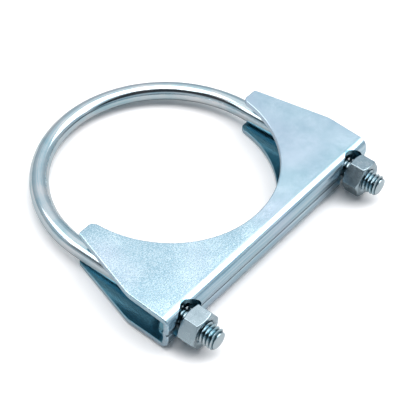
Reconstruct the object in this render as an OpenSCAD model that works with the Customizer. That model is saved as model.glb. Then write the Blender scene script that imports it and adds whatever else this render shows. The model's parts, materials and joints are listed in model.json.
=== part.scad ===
// Exhaust U-bolt clamp: a bent rod with two threaded legs, a pressed saddle and two hex nuts.
// Origin at the pipe's centre. Z runs along the pipe, the legs run towards -Y, X spans the two legs.

/* [Pipe] */
// Outside diameter of the pipe that the clamp holds, and the saddle's arc
pipe_d = 82.6; // [76:0.1:86]

/* [U-bolt] */
// Distance between the centres of the two legs
leg_spacing = 92.6; // [91.6:0.2:94]
// Diameter of the plain rod
rod_d = 7; // [6.5:0.1:7.4]
// Outside diameter of the rolled thread
thread_d = 7.94; // [7.6:0.01:8]
// Length of thread on each leg, from its end
thread_l = 26; // [20:1:30]
// Distance from the pipe's centre to the ends of the legs
leg_reach = 62.9; // [60:0.1:66]
// Size of the chamfer on each end
end_chamfer = 0.85; // [0.3:0.05:1.2]

/* [Saddle] */
// Thickness of the sheet
sheet_t = 2.1; // [1.8:0.1:2.4]
// Overall length, across both legs
saddle_l = 112.4; // [110:0.1:116]
// Distance from the pipe's centre to the outside of the web
web_reach = 49.7; // [49.3:0.1:51]
// Outside width over the web
web_w = 14.6; // [14.2:0.1:15.6]
// Angle by which each side plate leans outwards
splay = 1.5; // [0:0.1:2]
// Outside radius of the bend between the web and each plate
bend_r = 3.4; // [2.6:0.1:3.8]
// Distance from the pipe's centre back to the horn tips
horn_back = 2.8; // [1:0.1:4]
// Width of the saddle over its two horns
horn_span = 97; // [96:0.1:100]
// Distance from the pipe's centre back to the bend in each end's outline
shoulder_back = 31.5; // [26:0.1:36]
// Depth of the crease along the web
crease = 0.9; // [0:0.1:1.2]
// How far the web bulges on each side of the crease
bulge = 0.25; // [0:0.05:0.4]

/* [Nut seats] */
// Diameter of each pressed seat
seat_d = 14.4; // [13:0.1:14.6]
// Depth of each pressed seat
seat_depth = 2.6; // [1:0.1:3]
// Diameter of the holes that the legs pass through
leg_hole_d = 9.5; // [8.6:0.1:10.5]

/* [Nuts] */
// Width across the flats
nut_af = 12.7; // [12:0.1:13]
// Height
nut_h = 6.75; // [6:0.05:7]
// Angle of the left nut about its leg
left_turn = 3; // [-30:1:30]
// Angle of the right nut about its leg
right_turn = -6; // [-30:1:30]

/* [Looseness] */
// Gap between each nut and the outside of the web
nut_gap = 1; // [0.3:0.05:1.5]
// How far the legs lie below the middle of the saddle's holes
leg_drop = 0.5; // [0:0.1:0.6]
// Angle by which the U-bolt droops in the holes
droop = 2; // [0:0.1:2]

/* [Hidden] */
$fn = 96;
eps = 0.01;
pipe_r = pipe_d / 2;
rod_r = rod_d / 2;
thread_r = thread_d / 2;
leg_x = leg_spacing / 2;
runout = 0.8;
web_y = -web_reach;
// The U-bolt turns about the web as it droops, and its bend still meets the pipe opposite the saddle.
bow_y = (pipe_r + rod_r - web_y) / cos(droop) + web_y - leg_x;
// The bend in the sheet: its centre, and the points on the web side of it.
face_y = web_y + bulge;
bend_y = face_y + bend_r;
bend_z = web_w / 2 - bend_r;
crease_half_w = 0.5;
lobe_mid = (bend_z + crease_half_w) / 2;
lobe_half = bend_z - lobe_mid;
arc_steps = 8;
lobe_steps = 6;
horn_y = -horn_back;
horn_x = horn_span / 2;
end_x = saddle_l / 2;
shoulder_y = -shoulder_back;
outline_h = 30;
seat_r = seat_d / 2;
seat_wall = 1.9;
seat_floor_y = web_y + seat_depth;
seat_back_y = seat_floor_y + sheet_t;
nut_y = web_y - nut_gap;
nut_bore_r = thread_r + 0.08;
nut_chamfer_angle = 30;
bore_chamfer = 0.6;
zinc = "#b7cbd4";
zinc_nut = "#a9bac2";

function arc(c, r, a0, a1, n) =
    [for (i = [0 : n]) c + r * [cos(a0 + (a1 - a0) * i / n), sin(a0 + (a1 - a0) * i / n)]];

// One side of the web, from the bend to the crease. Each lobe swells by the bulge at its middle.
function lobe(t) = [for (i = [1 : lobe_steps])
    let (z = bend_z - (bend_z - crease_half_w) * i / lobe_steps, s = (z - lobe_mid) / lobe_half)
    [face_y - bulge * (1 - s * s) + t, z]];

// One face of the folded sheet in the Y-Z plane, from the mouth to the crease, t inside the outer one.
function half_face(t) =
    let (
        c = [bend_y, bend_z],
        r = bend_r - t,
        start = c + r * [-sin(splay), cos(splay)],
        mouth = [0, start.y - start.x * tan(splay)]
    )
    concat([mouth], arc(c, r, 90 + splay, 180, arc_steps), lobe(t), [[face_y + crease + t, 0]]);

function mirrored(p) = [for (i = [len(p) - 1 : -1 : 0]) [p[i].x, -p[i].y]];

function whole_face(t) =
    let (h = half_face(t))
    concat(h, [for (p = mirrored(h)) if (p.y < -eps) p]);

function reversed(p) = [for (i = [len(p) - 1 : -1 : 0]) p[i]];

// Right half of the plates' outline, from the web to the horn's inner corner.
function half_outline() = concat(
    [[end_x, web_y - 1]],
    [[end_x, shoulder_y - 1.5], [end_x - 0.12, shoulder_y - 0.2], [end_x - 0.45, shoulder_y + 1.2]],
    arc([horn_x - 1, horn_y - 1], 1, 15, 90, 4),
    arc([pipe_r + 1.7, horn_y - 1.5], 1.5, 90, 160, 5),
    [[pipe_r - 3, horn_y - 6]]
);

module along_x(l) {
    rotate([90, 0, 90])
        linear_extrude(height = l, center = true)
            children();
}

module outline() {
    right = half_outline();
    left = [for (i = [len(right) - 1 : -1 : 0]) [-right[i].x, right[i].y]];
    linear_extrude(height = outline_h, center = true)
        polygon(concat(right, left));
}

// Cylinder along -Y on a leg's centre line, from y0 down to y1.
module leg_rod(x, r, y0, y1) {
    translate([x, y0, 0])
        rotate([90, 0, 0])
            cylinder(r = r, h = y0 - y1);
}

module leg_cone(x, r0, r1, y0, y1) {
    translate([x, y0, 0])
        rotate([90, 0, 0])
            cylinder(r1 = r0, r2 = r1, h = y0 - y1);
}

// Puts the U-bolt and the nuts on it where they lie: low in the saddle's holes, and drooping.
module lying() {
    translate([0, web_y, -leg_drop])
        rotate([-droop, 0, 0])
            translate([0, -web_y, 0])
                children();
}

module u_bolt() {
    thread_y = thread_l - leg_reach;
    color(zinc) lying() {
        translate([0, bow_y, 0])
            rotate_extrude(angle = 180)
                translate([leg_x, 0])
                    circle(r = rod_r);
        for (x = [-leg_x, leg_x]) {
            leg_rod(x, rod_r, bow_y, thread_y + runout);
            leg_cone(x, rod_r, thread_r, thread_y + runout, thread_y);
            leg_rod(x, thread_r, thread_y, end_chamfer - leg_reach);
            leg_cone(x, thread_r, thread_r - end_chamfer, end_chamfer - leg_reach, -leg_reach);
        }
    }
}

module saddle() {
    color(zinc)
        difference() {
            union() {
                intersection() {
                    along_x(saddle_l + 2)
                        polygon(concat(whole_face(0), reversed(whole_face(sheet_t))));
                    outline();
                }
                // The cups that the seats are pressed into, kept inside the folded sheet.
                intersection() {
                    for (x = [-leg_x, leg_x])
                        leg_rod(x, seat_r + seat_wall, seat_back_y, web_y + sheet_t / 2);
                    along_x(saddle_l)
                        polygon(whole_face(sheet_t / 2));
                }
            }
            cylinder(r = pipe_r, h = outline_h, center = true);
            for (x = [-leg_x, leg_x]) {
                leg_rod(x, seat_r, seat_floor_y, web_y - 5);
                leg_rod(x, leg_hole_d / 2, seat_back_y + 1, web_y - 5);
            }
        }
}

// Hex nut chamfered at both ends, with its seat face at y = 0 and its outer face at y = -nut_h.
module nut() {
    corner_r = nut_af / 2 / cos(30);
    face_r = nut_af / 2 - 0.15;
    drop = (corner_r - face_r) * tan(nut_chamfer_angle);
    rotate([90, 0, 0])
        difference() {
            intersection() {
                cylinder(r = corner_r, h = nut_h, $fn = 6);
                rotate_extrude()
                    polygon([[0, 0], [face_r, 0], [corner_r + eps, drop],
                             [corner_r + eps, nut_h - drop], [face_r, nut_h], [0, nut_h]]);
            }
            translate([0, 0, -1])
                cylinder(r = nut_bore_r, h = nut_h + 2);
            translate([0, 0, -eps])
                cylinder(r1 = nut_bore_r + bore_chamfer, r2 = nut_bore_r, h = bore_chamfer);
            translate([0, 0, nut_h - bore_chamfer + eps])
                cylinder(r1 = nut_bore_r, r2 = nut_bore_r + bore_chamfer, h = bore_chamfer);
        }
}

module placed_nut(x, turn) {
    color(zinc_nut)
        lying()
            translate([x, nut_y, 0])
                rotate([0, -turn, 0])
                    nut();
}

module nut_left() {
    placed_nut(-leg_x, left_turn);
}

module nut_right() {
    placed_nut(leg_x, right_turn);
}

u_bolt();
saddle();
nut_left();
nut_right();
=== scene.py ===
"""Zinc-plated exhaust U-bolt clamp: a threaded rod, a pressed saddle and two hex nuts.

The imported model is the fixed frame. Each piece below is built in metres, in that frame, and stands
for the plain CAD node of the same place. The U-bolt and the nuts are shaped straight, with the legs
along -Y, and then laid at the slight droop that the joints' axis gives.
"""

from __future__ import annotations

import json
import logging
import math
from dataclasses import dataclass, field
from enum import Enum
from typing import Any, Callable

import bmesh
import bpy
from mathutils import Matrix, Vector


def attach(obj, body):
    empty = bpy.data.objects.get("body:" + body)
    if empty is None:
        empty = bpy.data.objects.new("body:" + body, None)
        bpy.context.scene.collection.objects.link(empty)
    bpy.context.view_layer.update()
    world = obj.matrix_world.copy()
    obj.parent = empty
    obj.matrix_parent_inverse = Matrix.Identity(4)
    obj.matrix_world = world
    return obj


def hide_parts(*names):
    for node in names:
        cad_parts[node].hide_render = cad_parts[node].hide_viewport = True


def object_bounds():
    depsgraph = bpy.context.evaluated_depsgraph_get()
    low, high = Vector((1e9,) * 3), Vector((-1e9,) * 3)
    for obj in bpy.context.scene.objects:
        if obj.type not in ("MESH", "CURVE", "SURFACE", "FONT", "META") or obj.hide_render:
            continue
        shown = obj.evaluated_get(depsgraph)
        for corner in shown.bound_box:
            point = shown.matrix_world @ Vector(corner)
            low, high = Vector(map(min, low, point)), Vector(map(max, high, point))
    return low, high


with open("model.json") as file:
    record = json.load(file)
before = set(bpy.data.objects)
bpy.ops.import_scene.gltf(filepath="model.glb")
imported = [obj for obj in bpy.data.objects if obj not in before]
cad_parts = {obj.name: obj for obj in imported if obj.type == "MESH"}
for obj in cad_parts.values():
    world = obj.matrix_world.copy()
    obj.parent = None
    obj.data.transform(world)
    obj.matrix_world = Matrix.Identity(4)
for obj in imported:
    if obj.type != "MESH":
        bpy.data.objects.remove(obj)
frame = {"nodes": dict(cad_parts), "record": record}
CAD_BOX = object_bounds()
LOG = logging.getLogger("u_bolt_clamp")
MM = 0.001
# Vertices nearer to each other than MERGE are one. A point nearer than TINY to an end is on it.
MERGE = 0.001 * MM
TINY = 0.01 * MM
# Attributes of the rod: a place on it before it was bent, and a depth in its thread.
STRAIGHT = "straight"
ROOT = "root"
# Nearly all of a noise texture's values lie between these two.
NOISE_LOW, NOISE_HIGH = 0.3, 0.7

Socket = bpy.types.NodeSocket
Tree = bpy.types.NodeTree


class Body(Enum):
    """Bodies of the frame that the pieces ride on."""

    ROD = "rod"
    SADDLE = "saddle"
    NUT_LEFT = "nut_left"
    NUT_RIGHT = "nut_right"


class Side(Enum):
    """The two legs, each by the sign of its X."""

    LEFT = -1
    RIGHT = 1


# ---------------------------------------------------------------- helpers


def linear(hex_colour: str) -> tuple[float, float, float, float]:
    """Turns an sRGB hex colour into linear RGBA.

    Args:
        hex_colour: A colour such as "#b7cbd4".

    Returns:
        The colour's linear red, green and blue, and an alpha of 1.
    """
    parts = [int(hex_colour[i : i + 2], 16) / 255 for i in (1, 3, 5)]
    red, green, blue = (c / 12.92 if c <= 0.04045 else ((c + 0.055) / 1.055) ** 2.4 for c in parts)
    return red, green, blue, 1.0


def add_node(
    tree: Tree, kind: str, settings: dict[str, Any] | None = None, **inputs: Any
) -> bpy.types.Node:
    """Adds one node with its settings, its input values and its links.

    Args:
        tree: The node tree that gets the node.
        kind: The node's type, such as "ShaderNodeMath".
        settings: Properties of the node itself.
        **inputs: A value or an output socket for each input, by its name in lower case with
            underscores, or by "i" and its number.

    Returns:
        The new node.
    """
    made = tree.nodes.new(kind)
    for key, value in (settings or {}).items():
        setattr(made, key, value)
    named = {socket.name.lower().replace(" ", "_"): socket for socket in reversed(made.inputs)}
    for key, value in inputs.items():
        socket = made.inputs[int(key[1:])] if key[1:].isdigit() else named[key]
        if isinstance(value, Socket):
            tree.links.new(value, socket)
        else:
            socket.default_value = value
    return made


def new_piece(
    name: str, mesh_maker: bmesh.types.BMesh, smooth_angle: float | None = None
) -> bpy.types.Object:
    """Makes an object of a finished bmesh, shaded smooth except at its sharp edges.

    Args:
        name: The object's name.
        mesh_maker: The bmesh, which is freed.
        smooth_angle: Edges sharper than this many degrees stay sharp. Without it, the sharp edges
            are those already marked.

    Returns:
        The new object, at the origin.
    """
    mesh = bpy.data.meshes.new(name)
    for face in mesh_maker.faces:
        face.smooth = True
    mesh_maker.to_mesh(mesh)
    mesh_maker.free()
    if smooth_angle is not None:
        mesh.set_sharp_from_angle(angle=math.radians(smooth_angle))
    piece = bpy.data.objects.new(name, mesh)
    bpy.context.scene.collection.objects.link(piece)
    shading = piece.modifiers.new("shading", "WEIGHTED_NORMAL")
    shading.keep_sharp = True
    return piece


def boundary(mesh_maker: bmesh.types.BMesh, near: Callable[[Vector], bool]) -> list[bmesh.types.BMEdge]:
    """Finds a mesh's open edges.

    Args:
        mesh_maker: The mesh's bmesh.
        near: A test of an edge's middle.

    Returns:
        The open edges whose middles pass the test.
    """
    return [
        edge
        for edge in mesh_maker.edges
        if len(edge.link_faces) == 1 and near((edge.verts[0].co + edge.verts[1].co) / 2)
    ]


def smooth_step(low: float, high: float, value: float) -> float:
    """Returns 0 below low, 1 above high, and a smooth rise between them."""
    share = min(1.0, max(0.0, (value - low) / (high - low)))
    return share * share * (3 - 2 * share)


def laying(nut_middle: float) -> Matrix:
    """Works out how the straight U-bolt lies in the frame, from the nuts' joints.

    Args:
        nut_middle: The straight nuts' middle on Y, in metres, which is where their joints are.

    Returns:
        The matrix from the straight U-bolt's space to the frame.
    """
    joint = next(j for j in frame["record"]["behaviour"]["joints"] if j["name"] == "nut_left_turn")
    axis, place = Vector(joint["axis"]), Vector(joint["pos_m"])
    droop = math.atan2(axis.z, axis.y)
    turn = Matrix.Rotation(droop, 4, "X")
    return Matrix.Translation((0, place.y, place.z)) @ turn @ Matrix.Translation((0, -nut_middle, 0))


def thread_pitch() -> float:
    """Returns the thread's pitch in metres, from how far the nuts turn as the saddle slides."""
    couplings = frame["record"]["behaviour"]["couplings"]
    return 2 * math.pi / couplings[0]["ratio"]


# ---------------------------------------------------------------- finishes


@dataclass(frozen=True)
class Finish:
    """A plated metal: its colours, its roughness and the depth of its marks.

    Attributes:
        name: The material's name.
        pale: sRGB colour of the clean plate.
        deep: sRGB colour where the passivation is thicker.
        smooth: Roughness of the brightest patches.
        rough: Roughness of the dullest patches.
    """

    name: str
    pale: str
    deep: str
    smooth: float
    rough: float

    def start(self) -> tuple[bpy.types.Material, Tree, bpy.types.Node]:
        """Makes the material with an empty tree and its metal shader.

        Returns:
            The material, its tree and its Principled shader.
        """
        material = bpy.data.materials.new(self.name)
        material.use_nodes = True
        tree = material.node_tree
        tree.nodes.clear()
        shader = add_node(tree, "ShaderNodeBsdfPrincipled", metallic=1.0)
        output = add_node(tree, "ShaderNodeOutputMaterial", surface=shader.outputs["BSDF"])
        output.is_active_output = True
        return material, tree, shader

    def wire(
        self,
        tree: Tree,
        shader: bpy.types.Node,
        tone: Socket,
        dull: Socket,
        height: Socket,
        depth: float,
    ) -> Socket:
        """Links a tone, a dullness and a height to the shader.

        Args:
            tree: The material's tree.
            shader: Its Principled shader.
            tone: 0 for the deep colour, 1 for the pale one.
            dull: 0 for the smooth roughness, 1 for the rough one.
            height: The marks' height, 0 to 1.
            depth: What a height of 1 stands for, in metres.

        Returns:
            The plate's colour, which is linked to the shader too.
        """
        colour = add_node(
            tree, "ShaderNodeMix", {"data_type": "RGBA", "clamp_factor": True},
            i0=tone, i6=linear(self.deep), i7=linear(self.pale),
        )
        roughness = add_node(
            tree, "ShaderNodeMapRange", None, value=dull, to_min=self.smooth, to_max=self.rough
        )
        bump = add_node(tree, "ShaderNodeBump", None, strength=1.0, distance=depth, height=height)
        tree.links.new(colour.outputs[2], shader.inputs["Base Color"])
        tree.links.new(roughness.outputs[0], shader.inputs["Roughness"])
        tree.links.new(bump.outputs[0], shader.inputs["Normal"])
        return colour.outputs[2]


@dataclass(frozen=True)
class DrawnRodZinc(Finish):
    """Bright zinc plate, blue passivated, on cold-drawn steel rod.

    The drawing die leaves fine lines along the rod, so its mirror-like bands break into narrow
    streaks. The lines are really under 0.1 mm apart, and are drawn at 0.22 mm so that they show.
    The thread's roots are painted darker, as painted shade with a little oil, between bright crests.

    Attributes:
        line_width: Width of a drawn line.
        line_length: Length of a drawn line.
        patch: Size of the paler and deeper patches.
        tone_range: Sums of the two patterns that give the deepest and the palest tone.
        depth: Depth of a drawn line.
        root_shade_colour: sRGB colour of the painted shade in the thread's roots.
        root_shade_from: Share of the thread's depth at which the painted shade begins.
    """

    name: str = "drawn_rod_zinc"
    pale: str = "#e0e0e2"
    deep: str = "#a6c8d4"
    smooth: float = 0.1
    rough: float = 0.26
    line_width: float = 0.22 * MM
    line_length: float = 30 * MM
    patch: float = 9 * MM
    tone_range: tuple[float, float] = (0.7, 1.25)
    depth: float = 0.006 * MM
    root_shade_colour: str = "#34525c"
    root_shade_from: float = 0.25

    def build(self) -> bpy.types.Material:
        """Builds the material.

        Returns:
            The finished material.
        """
        material, tree, shader = self.start()
        along = add_node(tree, "ShaderNodeAttribute", {"attribute_name": STRAIGHT}).outputs["Vector"]
        stretch = (1 / self.line_width, 1 / self.line_length, 1 / self.line_width)
        drawn = add_node(tree, "ShaderNodeVectorMath", {"operation": "MULTIPLY"}, i0=along, i1=stretch)
        lines = add_node(
            tree, "ShaderNodeTexNoise", None, vector=drawn.outputs[0], scale=1.0, detail=2.0, roughness=0.6
        )
        patches = add_node(
            tree, "ShaderNodeTexNoise", None, vector=along, scale=1 / self.patch, detail=3.0, roughness=0.5
        )
        streaks = add_node(
            tree, "ShaderNodeMath", {"operation": "ADD"}, i0=patches.outputs[0], i1=lines.outputs[0]
        )
        tone = add_node(
            tree, "ShaderNodeMapRange", None, value=streaks.outputs[0],
            from_min=self.tone_range[0], from_max=self.tone_range[1],
        )
        dull = add_node(
            tree, "ShaderNodeMath", {"operation": "MULTIPLY"}, i0=patches.outputs[0], i1=lines.outputs[0]
        )
        plated = self.wire(
            tree, shader, tone.outputs[0], dull.outputs[0], lines.outputs[0], self.depth
        )
        # Painted shade: the colour darkens towards the thread's roots, with a little oil there.
        sunk = add_node(tree, "ShaderNodeAttribute", {"attribute_name": ROOT}).outputs["Fac"]
        root_shade_mask = add_node(
            tree, "ShaderNodeMapRange", {"interpolation_type": "SMOOTHSTEP"},
            value=sunk, from_min=self.root_shade_from,
        )
        colour = add_node(
            tree, "ShaderNodeMix", {"data_type": "RGBA"},
            i0=root_shade_mask.outputs[0], i6=plated, i7=linear(self.root_shade_colour),
        )
        tree.links.new(colour.outputs[2], shader.inputs["Base Color"])
        return material


@dataclass(frozen=True)
class PressedSheetZinc(Finish):
    """Zinc plate, blue passivated, on pressed steel sheet.

    The plate grows in fine crystals, which catch the light as a grain of sparkles. They are really
    under 0.1 mm across, and are drawn at 0.5 mm so that they show. Pressing polishes much of the
    grain away on one half, and drags lines along the folds and the web.

    Attributes:
        crystal: Size of a crystal.
        cloud: Size of the paler and deeper clouds.
        polished_x: The grain fades from here at -X to here at +X.
        rubbed: Share of the grain that is left on the rubbed half.
        grain_tone: How far a crystal's tone can be from its cloud's.
        cloud_tone: Tones of the deepest and the palest clouds.
        drag_width: Width of a drag line.
        drag_length: Length of a drag line.
        fold_y: Where the folds begin on Y.
        fold_fade: Length over which the grain gives way to the drag lines.
        hue_patch: Size of the lavender patches.
        lavender: sRGB colour of a patch, where the passivation is thickest.
        hue_range: Values of the pattern at which a patch begins and is at its strongest.
        lavender_most: Share of lavender in the strongest patch.
        crease_half: Half width of the crease's line of painted shade.
        crease_shade_colour: sRGB colour of that painted shade.
        crease_y: How deep that line goes on Y.
        recess_shade_colour: sRGB colour of the painted shade in the hollow and the seats.
        hollow_z: Half width of the channel's hollow, at Y = 0.
        hollow_y: Bottom of the hollow on Y.
        splay: How far each plate leans out, in degrees.
        seat_x: The seats' distance from the middle.
        seat_r: Radius of a seat.
        seat_y: Where the painted shade begins in a seat, on Y.
        seat_fade: Length over which it does.
        blur: Width of the masks' other edges.
        depth: Depth of the grain and of the drag lines.
    """

    name: str = "pressed_sheet_zinc"
    pale: str = "#dcecf4"
    deep: str = "#93bccf"
    smooth: float = 0.14
    rough: float = 0.34
    crystal: float = 0.5 * MM
    cloud: float = 11 * MM
    polished_x: float = 20 * MM
    rubbed: float = 0.3
    grain_tone: float = 0.5
    cloud_tone: tuple[float, float] = (0.35, 0.7)
    drag_width: float = 0.4 * MM
    drag_length: float = 40 * MM
    fold_y: float = -45.0 * MM
    fold_fade: float = 1.5 * MM
    hue_patch: float = 25 * MM
    lavender: str = "#cfd2e6"
    hue_range: tuple[float, float] = (0.45, 0.7)
    lavender_most: float = 0.35
    crease_half: float = 0.3 * MM
    crease_shade_colour: str = "#3d4c55"
    crease_y: float = -48.8 * MM
    recess_shade_colour: str = "#6d9cac"
    hollow_z: float = 6.42 * MM
    hollow_y: float = -47.5 * MM
    splay: float = 1.5
    seat_x: float = 46.3 * MM
    seat_r: float = 7.2 * MM
    seat_y: float = -49.3 * MM
    seat_fade: float = 0.6 * MM
    blur: float = 0.2 * MM
    depth: float = 0.03 * MM

    def grain(self, tree: Tree, place: Socket, x: Socket, clouds: Socket) -> tuple[Socket, Socket]:
        """Makes the crystals, which are left on the half that was not rubbed, at -X.

        Args:
            tree: The material's tree.
            place: Object coordinates.
            x: Their X.
            clouds: The cloud pattern.

        Returns:
            The grain's tone and its height.
        """
        crystals = add_node(
            tree, "ShaderNodeTexNoise", None, vector=place, scale=1 / self.crystal,
            detail=3.0, roughness=0.75,
        ).outputs[0]
        unrubbed = add_node(
            tree, "ShaderNodeMapRange", {"interpolation_type": "SMOOTHSTEP"}, value=x,
            from_min=self.polished_x, from_max=-self.polished_x, to_min=self.rubbed, to_max=1.0,
        ).outputs[0]
        sparkle = add_node(
            tree, "ShaderNodeMapRange", None, value=crystals, from_min=NOISE_LOW, from_max=NOISE_HIGH,
            to_min=-self.grain_tone, to_max=self.grain_tone,
        )
        shown = add_node(
            tree, "ShaderNodeMath", {"operation": "MULTIPLY"}, i0=sparkle.outputs[0], i1=unrubbed
        )
        cloudy = add_node(
            tree, "ShaderNodeMapRange", None, value=clouds, from_min=NOISE_LOW, from_max=NOISE_HIGH,
            to_min=self.cloud_tone[0], to_max=self.cloud_tone[1],
        )
        tone = add_node(
            tree, "ShaderNodeMath", {"operation": "ADD"}, i0=cloudy.outputs[0], i1=shown.outputs[0]
        )
        height = add_node(tree, "ShaderNodeMath", {"operation": "MULTIPLY"}, i0=crystals, i1=unrubbed)
        return tone.outputs[0], height.outputs[0]

    def drag(
        self, tree: Tree, place: Socket, y: Socket, tone: Socket, height: Socket
    ) -> tuple[Socket, Socket]:
        """Puts the press's drag lines in the grain's place along the folds and the web.

        Args:
            tree: The material's tree.
            place: Object coordinates.
            y: Their Y.
            tone: The grain's tone.
            height: The grain's height.

        Returns:
            The tone and the height all over the sheet.
        """
        stretch = (1 / self.drag_length, 1 / self.drag_width, 1 / self.drag_width)
        dragged = add_node(tree, "ShaderNodeVectorMath", {"operation": "MULTIPLY"}, i0=place, i1=stretch)
        lines = add_node(
            tree, "ShaderNodeTexNoise", None, vector=dragged.outputs[0], scale=1.0,
            detail=2.0, roughness=0.6,
        ).outputs[0]
        folded = add_node(
            tree, "ShaderNodeMapRange", {"interpolation_type": "SMOOTHSTEP"},
            value=y, from_min=self.fold_y, from_max=self.fold_y - self.fold_fade,
        ).outputs[0]
        marks = add_node(
            tree, "ShaderNodeMix", {"data_type": "FLOAT"}, i0=folded, i2=height, i3=lines
        )
        streaks = add_node(
            tree, "ShaderNodeMapRange", None, value=lines, from_min=NOISE_LOW, from_max=NOISE_HIGH
        )
        shades = add_node(
            tree, "ShaderNodeMix", {"data_type": "FLOAT"}, i0=folded, i2=tone, i3=streaks.outputs[0]
        )
        return shades.outputs[0], marks.outputs[0]

    def in_crease(self, tree: Tree, y: Socket, off_middle: Socket) -> Socket:
        """Makes a mask of the crease along the middle of the web.

        Args:
            tree: The material's tree.
            y: The place's Y.
            off_middle: The place's distance from the mid-plane.

        Returns:
            1 in the crease and 0 elsewhere.
        """
        narrow = add_node(
            tree, "ShaderNodeMapRange", None, value=off_middle,
            from_min=self.crease_half, from_max=self.crease_half / 2,
        )
        outside = add_node(
            tree, "ShaderNodeMapRange", None, value=y,
            from_min=self.crease_y + self.blur, from_max=self.crease_y - self.blur,
        )
        return add_node(
            tree, "ShaderNodeMath", {"operation": "MULTIPLY"}, i0=narrow.outputs[0], i1=outside.outputs[0]
        ).outputs[0]

    def in_hollow(self, tree: Tree, y: Socket, off_middle: Socket) -> Socket:
        """Makes a mask of the hollow of the channel, between the leaning plates.

        Args:
            tree: The material's tree.
            y: The place's Y.
            off_middle: The place's distance from the mid-plane.

        Returns:
            1 in the hollow and 0 elsewhere.
        """
        upright = add_node(
            tree, "ShaderNodeMath", {"operation": "MULTIPLY_ADD"},
            i0=y, i1=-math.tan(math.radians(self.splay)), i2=off_middle,
        )
        between = add_node(
            tree, "ShaderNodeMapRange", None, value=upright.outputs[0],
            from_min=self.hollow_z + self.blur, from_max=self.hollow_z,
        )
        above_web = add_node(
            tree, "ShaderNodeMath", {"operation": "GREATER_THAN"}, i0=y, i1=self.hollow_y
        )
        return add_node(
            tree, "ShaderNodeMath", {"operation": "MULTIPLY"},
            i0=between.outputs[0], i1=above_web.outputs[0],
        ).outputs[0]

    def in_seats(self, tree: Tree, x: Socket, y: Socket, z: Socket) -> Socket:
        """Makes a mask of the two seats.

        Args:
            tree: The material's tree.
            x: The place's X.
            y: Its Y.
            z: Its Z.

        Returns:
            1 down in a seat and 0 elsewhere.
        """
        off_centre = add_node(tree, "ShaderNodeMath", {"operation": "ABSOLUTE"}, i0=x)
        from_leg = add_node(
            tree, "ShaderNodeMath", {"operation": "SUBTRACT"}, i0=off_centre.outputs[0], i1=self.seat_x
        )
        flat = add_node(tree, "ShaderNodeCombineXYZ", None, x=from_leg.outputs[0], y=0.0, z=z)
        radius = add_node(tree, "ShaderNodeVectorMath", {"operation": "LENGTH"}, i0=flat.outputs[0])
        near_leg = add_node(
            tree, "ShaderNodeMapRange", None, value=radius.outputs["Value"],
            from_min=self.seat_r + self.blur / 2, from_max=self.seat_r,
        )
        sunk = add_node(
            tree, "ShaderNodeMapRange", None, value=y,
            from_min=self.seat_y, from_max=self.seat_y + self.seat_fade,
        )
        return add_node(
            tree, "ShaderNodeMath", {"operation": "MULTIPLY"}, i0=near_leg.outputs[0], i1=sunk.outputs[0]
        ).outputs[0]

    def build(self) -> bpy.types.Material:
        """Builds the material.

        Returns:
            The finished material.
        """
        material, tree, shader = self.start()
        place = add_node(tree, "ShaderNodeTexCoord").outputs["Object"]
        x, y, z = add_node(tree, "ShaderNodeSeparateXYZ", None, vector=place).outputs
        off_middle = add_node(tree, "ShaderNodeMath", {"operation": "ABSOLUTE"}, i0=z).outputs[0]
        clouds = add_node(
            tree, "ShaderNodeTexNoise", None, vector=place, scale=1 / self.cloud, detail=4.0, roughness=0.6
        ).outputs[0]
        tone, height = self.drag(tree, place, y, *self.grain(tree, place, x, clouds))
        plated = self.wire(tree, shader, tone, clouds, height, self.depth)
        # The passivation turns from blue to lavender where it is thicker.
        hues = add_node(
            tree, "ShaderNodeTexNoise", None, vector=place, scale=1 / self.hue_patch, detail=1.0
        )
        violet = add_node(
            tree, "ShaderNodeMapRange", None, value=hues.outputs[0],
            from_min=self.hue_range[0], from_max=self.hue_range[1], to_max=self.lavender_most,
        )
        tinted = add_node(
            tree, "ShaderNodeMix", {"data_type": "RGBA"},
            i0=violet.outputs[0], i6=plated, i7=linear(self.lavender),
        )
        # Painted shade: the hollow of the channel and the two seats, down in them, are darkened to a dull
        # teal.
        recess_shade_mask = add_node(
            tree, "ShaderNodeMath", {"operation": "MAXIMUM"},
            i0=self.in_hollow(tree, y, off_middle), i1=self.in_seats(tree, x, y, z),
        )
        recess_shaded = add_node(
            tree, "ShaderNodeMix", {"data_type": "RGBA"},
            i0=recess_shade_mask.outputs[0], i6=tinted.outputs[2], i7=linear(self.recess_shade_colour),
        )
        # Painted shade: the pinched crease is darkened to a dark line.
        colour = add_node(
            tree, "ShaderNodeMix", {"data_type": "RGBA"},
            i0=self.in_crease(tree, y, off_middle), i6=recess_shaded.outputs[2], i7=linear(self.crease_shade_colour),
        )
        tree.links.new(colour.outputs[2], shader.inputs["Base Color"])
        return material


@dataclass(frozen=True)
class FormedNutZinc(Finish):
    """Zinc plate, blue passivated, on cold-formed steel nuts.

    Tumbling in the plating barrel leaves a satin skin with small dents, darker than the sheet.

    Attributes:
        dent: Size of a dent.
        patch: Size of the paler and deeper patches.
        depth: Depth of a dent.
    """

    name: str = "formed_nut_zinc"
    pale: str = "#c6d4db"
    deep: str = "#94a7b1"
    smooth: float = 0.18
    rough: float = 0.34
    dent: float = 0.6 * MM
    patch: float = 3 * MM
    depth: float = 0.008 * MM

    def build(self) -> bpy.types.Material:
        """Builds the material.

        Returns:
            The finished material.
        """
        material, tree, shader = self.start()
        place = add_node(tree, "ShaderNodeTexCoord").outputs["Object"]
        dents = add_node(
            tree, "ShaderNodeTexNoise", None, vector=place, scale=1 / self.dent, detail=2.0, roughness=0.6
        )
        patches = add_node(
            tree, "ShaderNodeTexNoise", None, vector=place, scale=1 / self.patch, detail=3.0, roughness=0.6
        )
        self.wire(tree, shader, patches.outputs[0], patches.outputs[0], dents.outputs[0], self.depth)
        return material


# ---------------------------------------------------------------- pieces


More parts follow.
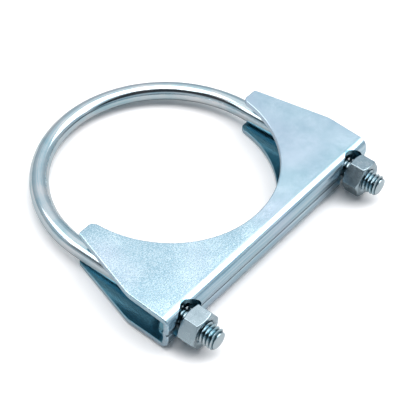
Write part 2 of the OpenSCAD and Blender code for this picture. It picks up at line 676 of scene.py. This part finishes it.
@dataclass
class UBolt:
    """The bent rod and its two threaded legs. Lengths are in metres, of the straight-lying rod.

    Attributes:
        leg_x: Half the distance between the legs, and the bend's radius.
        bow_y: The bend's centre on Y.
        rod_r: Radius of the plain rod.
        crest_r: Radius over the thread's crests.
        root_r: Radius at the thread's roots.
        thread_y: Where the full thread begins.
        runout: Length over which the thread fades into the rod.
        end_y: The legs' ends.
        chamfer: Size of the chamfer on each end.
        nut_middle: The nuts' middle on Y.
        joint: Gap between the plain rod and the thread that their bridge spans.
        profile: One pitch of the rolled thread from crest to crest, as shares of the pitch and of
            the thread's depth.
        round_steps: Facets round the rod.
        bend_steps: Facets along the bend.
        smooth_angle: Edges sharper than this many degrees stay sharp.
    """

    leg_x: float = 46.3 * MM
    bow_y: float = -1.442 * MM
    rod_r: float = 3.5 * MM
    crest_r: float = 3.96 * MM
    root_r: float = 3.16 * MM
    thread_y: float = -36.9 * MM
    runout: float = 0.8 * MM
    end_y: float = -62.9 * MM
    chamfer: float = 0.85 * MM
    nut_middle: float = -54.075 * MM
    joint: float = 0.4 * MM
    profile: tuple[tuple[float, float], ...] = (
        (0, 0.9), (0.03, 1), (0.08, 1), (0.11, 0.9), (0.46, 0.06), (0.5, 0), (0.6, 0), (0.65, 0.06),
        (1, 0.9),
    )
    round_steps: int = 48
    bend_steps: int = 120
    smooth_angle: float = 50.0
    finish: DrawnRodZinc = field(default_factory=DrawnRodZinc)

    def rod(self, maker: bmesh.types.BMesh) -> None:
        """Spins the bend from a circle and draws the plain legs out of its two ends.

        Args:
            maker: An empty bmesh, which gets the rod.
        """
        bmesh.ops.create_circle(
            maker, cap_ends=False, radius=self.rod_r, segments=self.round_steps,
            matrix=Matrix.Translation((self.leg_x, self.bow_y, 0)) @ Matrix.Rotation(math.pi / 2, 4, "X"),
        )
        bmesh.ops.spin(
            maker, geom=[*maker.verts, *maker.edges], cent=(0, self.bow_y, 0), axis=(0, 0, 1),
            angle=math.pi, steps=self.bend_steps, dvec=(0, 0, 0), use_merge=False, use_duplicate=False,
        )
        ends = boundary(maker, lambda _: True)
        drawn = bmesh.ops.extrude_edge_only(maker, edges=ends)["geom"]
        verts = [item for item in drawn if isinstance(item, bmesh.types.BMVert)]
        reach = self.bow_y - self.thread_y - self.runout - self.joint
        bmesh.ops.translate(maker, verts=verts, vec=(0, -reach, 0))

    def thread(self, side: Side) -> bpy.types.Mesh:
        """Spins one leg's helical thread, trims it to length and closes its end.

        Args:
            side: Which leg.

        Returns:
            The leg's mesh, open where it joins the rod.
        """
        pitch, deep = thread_pitch(), self.crest_r - self.root_r
        top_y = self.thread_y + self.runout
        start = self.end_y - pitch
        leg = bmesh.new()
        line = [
            leg.verts.new((self.root_r + deep * high, start + pitch * along, 0))
            for along, high in self.profile
        ]
        edges = [leg.edges.new(pair) for pair in zip(line, line[1:])]
        bmesh.ops.spin(
            leg, geom=line + edges, cent=(0, 0, 0), axis=(0, 1, 0), angle=2 * math.pi,
            steps=self.round_steps, dvec=(0, pitch / self.round_steps, 0), use_merge=False,
            use_duplicate=False,
        )
        turn = [*leg.verts, *leg.edges, *leg.faces]
        for index in range(1, math.ceil((top_y - start) / pitch) + 1):
            copied = bmesh.ops.duplicate(leg, geom=turn)["geom"]
            verts = [item for item in copied if isinstance(item, bmesh.types.BMVert)]
            bmesh.ops.translate(leg, verts=verts, vec=(0, pitch * index, 0))
        bmesh.ops.remove_doubles(leg, verts=leg.verts, dist=MERGE)
        for cut_y, outward in ((self.end_y, -1), (top_y, 1)):
            bmesh.ops.bisect_plane(
                leg, geom=[*leg.verts, *leg.edges, *leg.faces], dist=MERGE,
                plane_co=(0, cut_y, 0), plane_no=(0, outward, 0), clear_outer=True,
            )
        for vert in leg.verts:
            self.seat_radius(vert)
        rim = boundary(leg, lambda p: p.y < self.end_y + TINY)
        bmesh.ops.contextual_create(leg, geom=rim)
        bmesh.ops.translate(leg, verts=leg.verts, vec=(side.value * self.leg_x, 0, 0))
        mesh = bpy.data.meshes.new("leg")
        leg.to_mesh(mesh)
        leg.free()
        return mesh

    def seat_radius(self, vert: bmesh.types.BMVert) -> None:
        """Draws a thread vertex in to the end's chamfer, or into the rod where the thread fades.

        Args:
            vert: A vertex of a leg whose centre is on the Y axis.
        """
        radius = math.hypot(vert.co.x, vert.co.z)
        cone = self.crest_r - self.chamfer + (vert.co.y - self.end_y)
        fade = smooth_step(self.thread_y - self.runout, self.thread_y + self.runout, vert.co.y)
        wanted = min(radius, cone) * (1 - fade) + self.rod_r * fade
        vert.co.x *= wanted / radius
        vert.co.z *= wanted / radius

    def straighten(self, maker: bmesh.types.BMesh) -> None:
        """Notes each vertex's place on the rod before it was bent, and how deep in the thread it is.

        Args:
            maker: The U-bolt's bmesh, not yet laid in the frame.
        """
        layer = maker.verts.layers.float_vector.new(STRAIGHT)
        root = maker.verts.layers.float.new(ROOT)
        half_bend = math.pi / 2 * self.leg_x
        for vert in maker.verts:
            x, y, z = vert.co.x, vert.co.y - self.bow_y, vert.co.z
            if y > 0:
                angle = math.atan2(y, x)
                vert[layer] = Vector((math.hypot(x, y) - self.leg_x, self.leg_x * angle - half_bend, z))
            else:
                side = math.copysign(1, x)
                vert[layer] = Vector((abs(x) - self.leg_x, side * (y - half_bend), z))
                sunk = (self.crest_r - math.hypot(abs(x) - self.leg_x, z)) / (self.crest_r - self.root_r)
                faded = smooth_step(self.thread_y - self.runout, self.thread_y, vert.co.y)
                on_end = vert.co.y < self.end_y + TINY
                vert[root] = 0.0 if on_end else sunk * (1 - faded)

    def build(self) -> bpy.types.Object:
        """Builds the U-bolt, lays it in the frame and dresses it.

        Returns:
            The finished piece.
        """
        maker = bmesh.new()
        self.rod(maker)
        for side in Side:
            leg = self.thread(side)
            maker.from_mesh(leg)
            bpy.data.meshes.remove(leg)
        for side in Side:
            bmesh.ops.bridge_loops(maker, edges=boundary(maker, lambda p: p.x * side.value > 0))
        self.straighten(maker)
        bmesh.ops.transform(maker, matrix=laying(self.nut_middle), verts=maker.verts)
        bmesh.ops.recalc_face_normals(maker, faces=maker.faces)
        piece = new_piece("u_bolt_rod", maker, self.smooth_angle)
        piece.data.materials.append(self.finish.build())
        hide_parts("u_bolt")
        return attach(piece, Body.ROD.value)


@dataclass
class HexNut:
    """A hex nut, chamfered at both ends. Lengths are in metres.

    Attributes:
        side: Which leg it is on.
        node: The CAD node that it stands for.
        turn: Its angle about the leg, in degrees.
        finish: Its finish.
        across: Width across the flats.
        height: Its height.
        bore_r: Radius of its bore.
        countersink: Size of the bore's chamfer.
        flat_back: How far the end faces' edge is inside the flats.
        flats: Number of its flats.
        chamfer_angle: Slope of the chamfer on its corners, in degrees.
        edge: Width of the rounding along its edges.
        sharp: Edges sharper than this many degrees are rounded.
        smooth_angle: Edges sharper than this many degrees stay sharp.
        leg_x: The leg's distance from the middle.
        middle: Its middle on Y.
        round_steps: Facets round the nut.
    """

    side: Side
    node: str
    turn: float
    finish: FormedNutZinc
    across: float = 12.7 * MM
    height: float = 6.75 * MM
    bore_r: float = 4.05 * MM
    countersink: float = 0.6 * MM
    flat_back: float = 0.15 * MM
    flats: int = 6
    chamfer_angle: float = 30.0
    edge: float = 0.2 * MM
    sharp: float = 15.0
    smooth_angle: float = 60.0
    leg_x: float = 46.3 * MM
    middle: float = -54.075 * MM
    round_steps: int = 96

    def build(self) -> bpy.types.Object:
        """Spins the nut, cuts its flats and dresses it.

        Returns:
            The finished piece.
        """
        maker = bmesh.new()
        wedge = math.pi / self.flats
        half, corner = self.height / 2, self.across / 2 / math.cos(wedge)
        face_r = self.across / 2 - self.flat_back
        drop = (corner - face_r) * math.tan(math.radians(self.chamfer_angle))
        sink = self.countersink
        outline = [
            (self.bore_r, half - sink), (self.bore_r + sink, half), (face_r, half),
            (corner, half - drop), (corner, drop - half), (face_r, -half),
            (self.bore_r + sink, -half), (self.bore_r, sink - half),
        ]
        line = [maker.verts.new((r, y, 0)) for r, y in outline]
        edges = [maker.edges.new(pair) for pair in zip(line, line[1:] + line[:1])]
        bmesh.ops.spin(
            maker, geom=line + edges, cent=(0, 0, 0), axis=(0, 1, 0), angle=2 * math.pi,
            steps=self.round_steps, dvec=(0, 0, 0), use_merge=True, use_duplicate=False,
        )
        bmesh.ops.remove_doubles(maker, verts=maker.verts, dist=MERGE)
        for index in range(self.flats):
            outward = Matrix.Rotation(wedge * (1 + 2 * index), 3, "Y") @ Vector((1, 0, 0))
            bmesh.ops.bisect_plane(
                maker, geom=[*maker.verts, *maker.edges, *maker.faces], dist=MERGE / 10,
                plane_co=outward * self.across / 2, plane_no=outward, clear_outer=True,
            )
            bmesh.ops.contextual_create(maker, geom=boundary(maker, lambda _: True))
        bmesh.ops.recalc_face_normals(maker, faces=maker.faces)
        bmesh.ops.dissolve_degenerate(maker, dist=TINY, edges=maker.edges)
        least = math.radians(self.sharp)
        sharp = [edge for edge in maker.edges if edge.calc_face_angle(0) > least]
        bmesh.ops.bevel(
            maker, geom=sharp, offset=self.edge, offset_type="OFFSET", segments=2, profile=0.5,
            affect="EDGES", material=-1, clamp_overlap=False,
        )
        place = Matrix.Translation((self.side.value * self.leg_x, self.middle, 0))
        turn = Matrix.Rotation(math.radians(-self.turn), 4, "Y")
        bmesh.ops.transform(maker, matrix=laying(self.middle) @ place @ turn, verts=maker.verts)
        piece = new_piece(f"hex_{self.node}", maker, self.smooth_angle)
        piece.data.materials.append(self.finish.build())
        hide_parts(self.node)
        body = Body.NUT_LEFT if self.side is Side.LEFT else Body.NUT_RIGHT
        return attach(piece, body.value)


@dataclass
class Saddle:
    """The pressed saddle, from the CAD sheet with its sheared and rolled edges rounded.

    Attributes:
        rim: Width of the rounding along the outer edges of the sheet.
        inner_rim: Width of the rounding along the inner ones.
        rim_steps: Facets across the rounding.
        flat: Faces that turn less than this many degrees between them become one.
        sharp: Edges sharper than this many degrees are rounded.
        web_y: Outside of the web.
        bend_y: Centre of the bends on Y.
        bend_z: Their distance from the mid-plane.
        bend_r: Their outside radius.
        splay: How far each plate leans out, in degrees.
        skin: Edges less deep than this under the outer surface are outer ones.
        leg_x: Half the distance between the legs.
        seat_r: Radius within which an edge belongs to a seat.
        seat_top_y: The seats and the crease are below this on Y.
        crease_z: Half width of the crease along the web.
        pinch: Share of its width that the crease keeps, because the press closes it.
    """

    rim: float = 0.5 * MM
    inner_rim: float = 0.15 * MM
    rim_steps: int = 3
    flat: float = 0.5
    sharp: float = 40.0
    web_y: float = -49.7 * MM
    bend_y: float = -46.05 * MM
    bend_z: float = 3.9 * MM
    bend_r: float = 3.4 * MM
    splay: float = 1.5
    skin: float = 1.0 * MM
    leg_x: float = 46.3 * MM
    seat_r: float = 7.6 * MM
    seat_top_y: float = -44.0 * MM
    crease_z: float = 0.6 * MM
    pinch: float = 0.3
    finish: PressedSheetZinc = field(default_factory=PressedSheetZinc)

    def depth(self, place: Vector) -> float:
        """Works out how far a point is under the folded sheet's outer surface.

        Args:
            place: A point on or in the sheet.

        Returns:
            Its depth in metres.
        """
        height = abs(place.z)
        if place.y > self.bend_y:
            lean = (place.y - self.bend_y) * math.tan(math.radians(self.splay))
            return self.bend_z + self.bend_r + lean - height
        if height > self.bend_z:
            return self.bend_r - math.hypot(place.y - self.bend_y, height - self.bend_z)
        return place.y - self.web_y

    def rounding(self, edge: bmesh.types.BMEdge) -> float:
        """Works out how widely an edge is rounded.

        Args:
            edge: An edge of the sheet.

        Returns:
            The rounding's width in metres, or 0 for an edge that stays as it is.
        """
        if edge.calc_face_angle(0) < math.radians(self.sharp):
            return 0.0
        middle = (edge.verts[0].co + edge.verts[1].co) / 2
        if middle.y < self.seat_top_y:
            in_seat = math.hypot(abs(middle.x) - self.leg_x, middle.z) < self.seat_r
            if in_seat or abs(middle.z) < self.crease_z:
                return 0.0
        return self.inner_rim if self.depth(middle) > self.skin else self.rim

    def build(self) -> bpy.types.Object:
        """Rounds the sheet's edges, closes its crease and dresses it.

        Returns:
            The finished piece.
        """
        maker = bmesh.new()
        maker.from_mesh(frame["nodes"]["saddle"].data)
        bmesh.ops.remove_doubles(maker, verts=maker.verts, dist=MERGE)
        bmesh.ops.dissolve_limit(
            maker, angle_limit=math.radians(self.flat), verts=maker.verts, edges=maker.edges
        )
        weight = maker.edges.layers.float.new("bevel_weight_edge")
        for edge in maker.edges:
            edge[weight] = self.rounding(edge) / self.rim
            edge.smooth = edge[weight] > 0 or edge.calc_face_angle(0) <= math.radians(self.sharp)
        # The bevel needs faces without hollows, and the plates' arcs would give it some.
        bmesh.ops.triangulate(maker, faces=[face for face in maker.faces if len(face.verts) > 4])
        for vert in maker.verts:
            if abs(vert.co.z) < self.crease_z and vert.co.y < self.web_y + self.skin:
                vert.co.z *= self.pinch
        piece = new_piece("pressed_saddle", maker)
        rolled = piece.modifiers.new("rolled_edges", "BEVEL")
        rolled.width = self.rim
        rolled.segments = self.rim_steps
        rolled.limit_method = "WEIGHT"
        rolled.use_clamp_overlap = False
        rolled.loop_slide = False
        piece.modifiers.move(len(piece.modifiers) - 1, 0)
        piece.data.materials.append(self.finish.build())
        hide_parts("saddle")
        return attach(piece, Body.SADDLE.value)


# ---------------------------------------------------------------- studio


@dataclass
class Softbox:
    """One rectangular soft light, aimed at the object.

    Attributes:
        name: The light's name.
        bearing: Degrees round from the far side, positive to the camera's right.
        height: Degrees above the horizon.
        distance: Metres from the object.
        width: Its width in metres.
        depth: Its other side in metres.
        radiance: How bright its face is.
    """

    name: str
    bearing: float
    height: float
    distance: float
    width: float
    depth: float
    radiance: float

    def build(self, far: Vector, right: Vector) -> None:
        """Hangs the light and turns it to the object.

        Args:
            far: Horizontal direction away from the camera.
            right: Horizontal direction to the camera's right.
        """
        turn, lift = math.radians(self.bearing), math.radians(self.height)
        flat = far * math.cos(turn) + right * math.sin(turn)
        towards = flat * math.cos(lift) + Vector((0, 0, math.sin(lift)))
        data = bpy.data.lights.new(self.name, "AREA")
        data.shape = "RECTANGLE"
        data.size, data.size_y = self.width, self.depth
        data.energy = self.radiance * math.pi * self.width * self.depth
        lamp = bpy.data.objects.new(self.name, data)
        side = Vector((0, 0, 1)).cross(flat).normalized()
        up = towards.cross(side)
        turned = Matrix((side, up, towards)).transposed().to_4x4()
        lamp.matrix_world = Matrix.Translation(towards * self.distance) @ turned
        lamp.visible_camera = False
        bpy.context.scene.collection.objects.link(lamp)


@dataclass
class Studio:
    """Pale floor, soft lights and the camera.

    Attributes:
        azimuth: Camera's direction round the object in degrees, 0 looking along +Y.
        elevation: Camera's height over the horizon in degrees.
        roll: Turn of the picture about the line of sight in degrees.
        distance: Camera's distance from its target in metres.
        lens: Focal length in millimetres.
        sensor: Width of the camera's sensor in millimetres.
        clip: Nearest and farthest distance that the camera sees, in metres.
        aim: Target's place in millimetres from the pipe's centre.
        floor_size: Side of the white sheet in metres.
        paper: sRGB colour of the sheet where it lights the object.
        exposed: Linear colour of the sheet as the camera sees it, bright enough to come out white.
        wall: Heights, as the sine of an angle, and sRGB colours of the room's wall.
        dim: sRGB colour of the room's dim part, which is on the camera's side.
        dim_side: Cosines of the angles from the camera's side at which it begins and is full.
        dim_slope: How much higher it starts in its middle than at its sides.
        dim_rise: Heights above that slope at which it begins and is full.
        room_strength: Brightness of the room.
        softboxes: The lights.
    """

    azimuth: float = -53.958
    elevation: float = 47.436
    roll: float = 4.855
    distance: float = 0.47421
    lens: float = 118.708
    sensor: float = 36.0
    clip: tuple[float, float] = (0.01, 20.0)
    aim: tuple[float, float, float] = (0.731, -16.344, -4.804)
    floor_size: float = 6.0
    paper: str = "#c6c6c6"
    exposed: tuple[float, float, float, float] = (1.12, 1.09, 1.09, 1)
    wall: tuple[tuple[float, str], ...] = (
        (0.0, "#a2acb2"), (0.45, "#b9c4cb"), (0.68, "#dbe6ed"), (0.82, "#f6fafc"),
    )
    dim: str = "#34383c"
    dim_side: tuple[float, float] = (0.2, 0.42)
    dim_slope: float = 0.45
    dim_rise: tuple[float, float] = (-0.02, 0.12)
    room_strength: float = 1.1
    softboxes: tuple[Softbox, ...] = (
        Softbox("overhead", 62, 77, 0.9, 0.65, 1.4, 2.4),
        Softbox("right_side", 74, 46, 1.0, 0.6, 0.36, 2.4),
        Softbox("left_side", -89, 43, 1.0, 0.62, 0.4, 2.4),
    )

    def directions(self) -> tuple[Vector, Vector]:
        """Returns the horizontal directions away from the camera and to its right."""
        turn = math.radians(self.azimuth)
        return Vector((-math.sin(turn), math.cos(turn), 0)), Vector((math.cos(turn), math.sin(turn), 0))

    def camera(self) -> None:
        """Creates the scene's camera."""
        turn, lift = math.radians(self.azimuth), math.radians(self.elevation)
        back = Vector((math.sin(turn) * math.cos(lift), -math.cos(turn) * math.cos(lift), math.sin(lift)))
        data = bpy.data.cameras.new("camera")
        data.lens = self.lens
        data.sensor_width = self.sensor
        data.clip_start, data.clip_end = self.clip
        camera = bpy.data.objects.new("camera", data)
        roll = Matrix.Rotation(math.radians(self.roll), 4, "Z")
        facing = (-back).to_track_quat("-Z", "Y").to_matrix().to_4x4()
        target = Vector(self.aim) * MM
        camera.matrix_world = Matrix.Translation(target + back * self.distance) @ facing @ roll
        bpy.context.scene.collection.objects.link(camera)
        bpy.context.scene.camera = camera

    def floor(self) -> None:
        """Lays a plain white sheet under the saddle."""
        maker = bmesh.new()
        bmesh.ops.create_grid(maker, x_segments=1, y_segments=1, size=self.floor_size / 2)
        bmesh.ops.translate(maker, verts=maker.verts, vec=(0, 0, CAD_BOX[0].z))
        mesh = bpy.data.meshes.new("floor")
        maker.to_mesh(mesh)
        maker.free()
        material = bpy.data.materials.new("white_paper")
        material.use_nodes = True
        tree = material.node_tree
        shader = tree.nodes["Principled BSDF"]
        seen = add_node(tree, "ShaderNodeLightPath").outputs["Is Camera Ray"]
        exposed = add_node(
            tree, "ShaderNodeMix", {"data_type": "RGBA", "clamp_result": False},
            i0=seen, i6=linear(self.paper), i7=self.exposed,
        )
        tree.links.new(exposed.outputs[2], shader.inputs["Base Color"])
        shader.inputs["Roughness"].default_value = 0.9
        shader.inputs["Specular IOR Level"].default_value = 0.1
        mesh.materials.append(material)
        sheet = bpy.data.objects.new("floor", mesh)
        bpy.context.scene.collection.objects.link(sheet)

    def surroundings(self) -> None:
        """Makes the room: a pale wall that brightens with height, and a dim part on the camera's side."""
        far = self.directions()[0]
        world = bpy.data.worlds.new("room")
        bpy.context.scene.world = world
        world.use_nodes = True
        tree = world.node_tree
        tree.nodes.clear()
        towards = add_node(tree, "ShaderNodeTexCoord").outputs["Generated"]
        height = add_node(tree, "ShaderNodeSeparateXYZ", None, vector=towards).outputs["Z"]
        side = add_node(
            tree, "ShaderNodeVectorMath", {"operation": "DOT_PRODUCT"}, i0=towards, i1=tuple(-far)
        )
        wall = add_node(tree, "ShaderNodeValToRGB", None, fac=height)
        for element, (place, colour) in zip(self.stops(wall, len(self.wall)), self.wall):
            element.position, element.color = place, linear(colour)
        beside = add_node(
            tree, "ShaderNodeMapRange", {"interpolation_type": "SMOOTHSTEP"},
            value=side.outputs["Value"], from_min=self.dim_side[0], from_max=self.dim_side[1],
        )
        rise = add_node(
            tree, "ShaderNodeMath", {"operation": "MULTIPLY_ADD"},
            i0=side.outputs["Value"], i1=-self.dim_slope, i2=height,
        )
        above = add_node(
            tree, "ShaderNodeMapRange", {"interpolation_type": "SMOOTHSTEP"},
            value=rise.outputs[0], from_min=self.dim_rise[0], from_max=self.dim_rise[1],
        )
        dim = add_node(
            tree, "ShaderNodeMath", {"operation": "MULTIPLY"}, i0=beside.outputs[0], i1=above.outputs[0]
        )
        room = add_node(
            tree, "ShaderNodeMix", {"data_type": "RGBA"},
            i0=dim.outputs[0], i6=wall.outputs[0], i7=linear(self.dim),
        )
        seen = add_node(tree, "ShaderNodeLightPath").outputs["Is Camera Ray"]
        colour = add_node(
            tree, "ShaderNodeMix", {"data_type": "RGBA"}, i0=seen, i6=room.outputs[2], i7=linear("#ffffff")
        )
        light = add_node(
            tree, "ShaderNodeBackground", None, color=colour.outputs[2], strength=self.room_strength
        )
        add_node(tree, "ShaderNodeOutputWorld", None, surface=light.outputs[0])

    def stops(self, ramp: bpy.types.Node, count: int) -> list[bpy.types.ColorRampElement]:
        """Gives a colour ramp its stops.

        Args:
            ramp: The Color Ramp node.
            count: How many stops it needs.

        Returns:
            The stops, in their order.
        """
        elements = ramp.color_ramp.elements
        while len(elements) < count:
            elements.new(0.5)
        return list(elements)

    def build(self) -> None:
        """Sets up the camera, the floor, the room and the lights."""
        bpy.context.scene.view_settings.view_transform = "Standard"
        self.camera()
        self.floor()
        self.surroundings()
        for softbox in self.softboxes:
            softbox.build(*self.directions())


def main() -> None:
    """Builds the studio and the pieces in order."""
    Studio().build()
    nut_finish = FormedNutZinc()
    parts = (
        UBolt(),
        Saddle(),
        HexNut(Side.LEFT, "nut_left", 3.0, nut_finish),
        HexNut(Side.RIGHT, "nut_right", -6.0, nut_finish),
    )
    for part in parts:
        piece = part.build()


if __name__ == "__main__":
    logging.basicConfig(level=logging.INFO, format="%(message)s")
    main()
